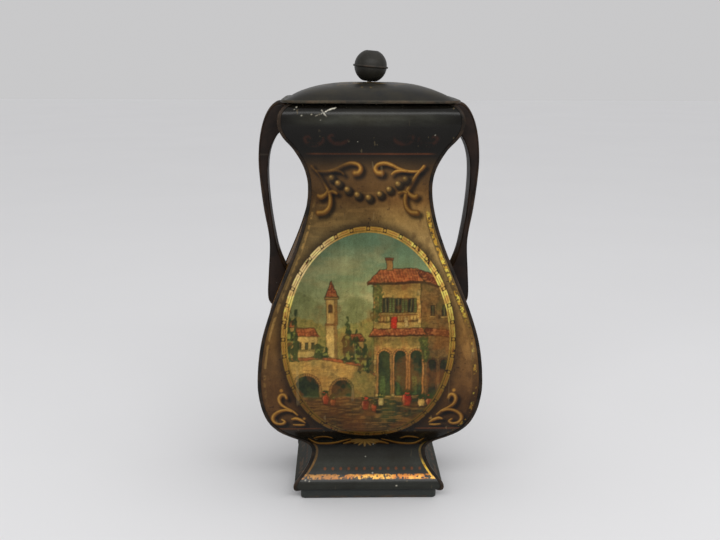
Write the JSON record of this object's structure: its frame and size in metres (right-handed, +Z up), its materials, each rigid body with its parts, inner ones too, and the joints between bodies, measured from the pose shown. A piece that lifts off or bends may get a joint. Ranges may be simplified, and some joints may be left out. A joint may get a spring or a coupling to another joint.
{
  "type": "lidded tin",
  "caption": "Vase-shaped rectangular tin of curved sheets with folded corner seams, a stepped foot, two hollow side handles and a lift-off domed lid with a ball knob.",
  "frame": {"origin": "centre of the footprint on the surface that the tin stands on", "axes": "+Z up, -Y is the printed front, +X towards the right handle"},
  "size_m": [0.1396, 0.1058, 0.2856],
  "materials": {
    "printed_sheet": "lithographed print under an aged satin varnish",
    "side_sheet": "dark brown and green-black print under an aged satin varnish",
    "dark_enamel": "green-black satin enamel, lightly worn",
    "lid_enamel": "green-black satin enamel, worn brown at the edges",
    "handle_enamel": "dark brown satin enamel",
    "bare_tinplate": "dull bare tinplate"
  },
  "bodies": {
    "tin": {"front_panel": "printed_sheet", "back_panel": "printed_sheet", "left_panel": "side_sheet", "right_panel": "side_sheet", "mouth_collar": "bare_tinplate", "base_pan": "dark_enamel", "left_handle_front": "handle_enamel", "left_handle_back": "handle_enamel", "right_handle_front": "handle_enamel", "right_handle_back": "handle_enamel"},
    "lid": {"lid_cover": "lid_enamel", "lid_collar": "bare_tinplate", "knob_upper": "lid_enamel", "knob_lower": "lid_enamel", "knob_rivet": "bare_tinplate", "knob_washer": "bare_tinplate"}
  },
  "joints": [
    {"name": "lid_lift", "type": "slide", "parent": "tin", "child": "lid", "axis": [0, 0, 1], "range_m": [0, 0.06]}
  ]
}
